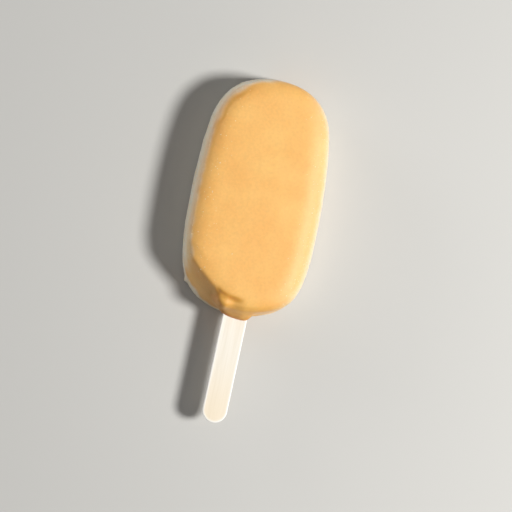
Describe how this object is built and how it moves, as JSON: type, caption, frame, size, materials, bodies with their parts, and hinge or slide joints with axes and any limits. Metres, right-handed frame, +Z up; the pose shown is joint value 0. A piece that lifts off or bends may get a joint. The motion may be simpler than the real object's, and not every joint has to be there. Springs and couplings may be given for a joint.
{
  "type": "ice pop",
  "caption": "Coated ice cream bar on a flat wooden stick: an oblong slab with rounded ends, a soft domed top and a flat underside that it lies on.",
  "frame": {"origin": "under the middle of the whole pop, on the surface that its flat underside lies on", "axes": "+Z up out of the bar's shown face, +Y along the bar towards its rounded tip, away from the stick's free end, +X to the right as the shown face is seen with the tip up"},
  "size_m": [0.0542, 0.1424, 0.024],
  "materials": {
    "caramel_coating": "smooth satin caramel coating, lightly frosted on its sides",
    "pale_birch": "bare sanded birch"
  },
  "bodies": {
    "root": {"coated_bar": "caramel_coating", "stick": "pale_birch"}
  },
  "joints": []
}
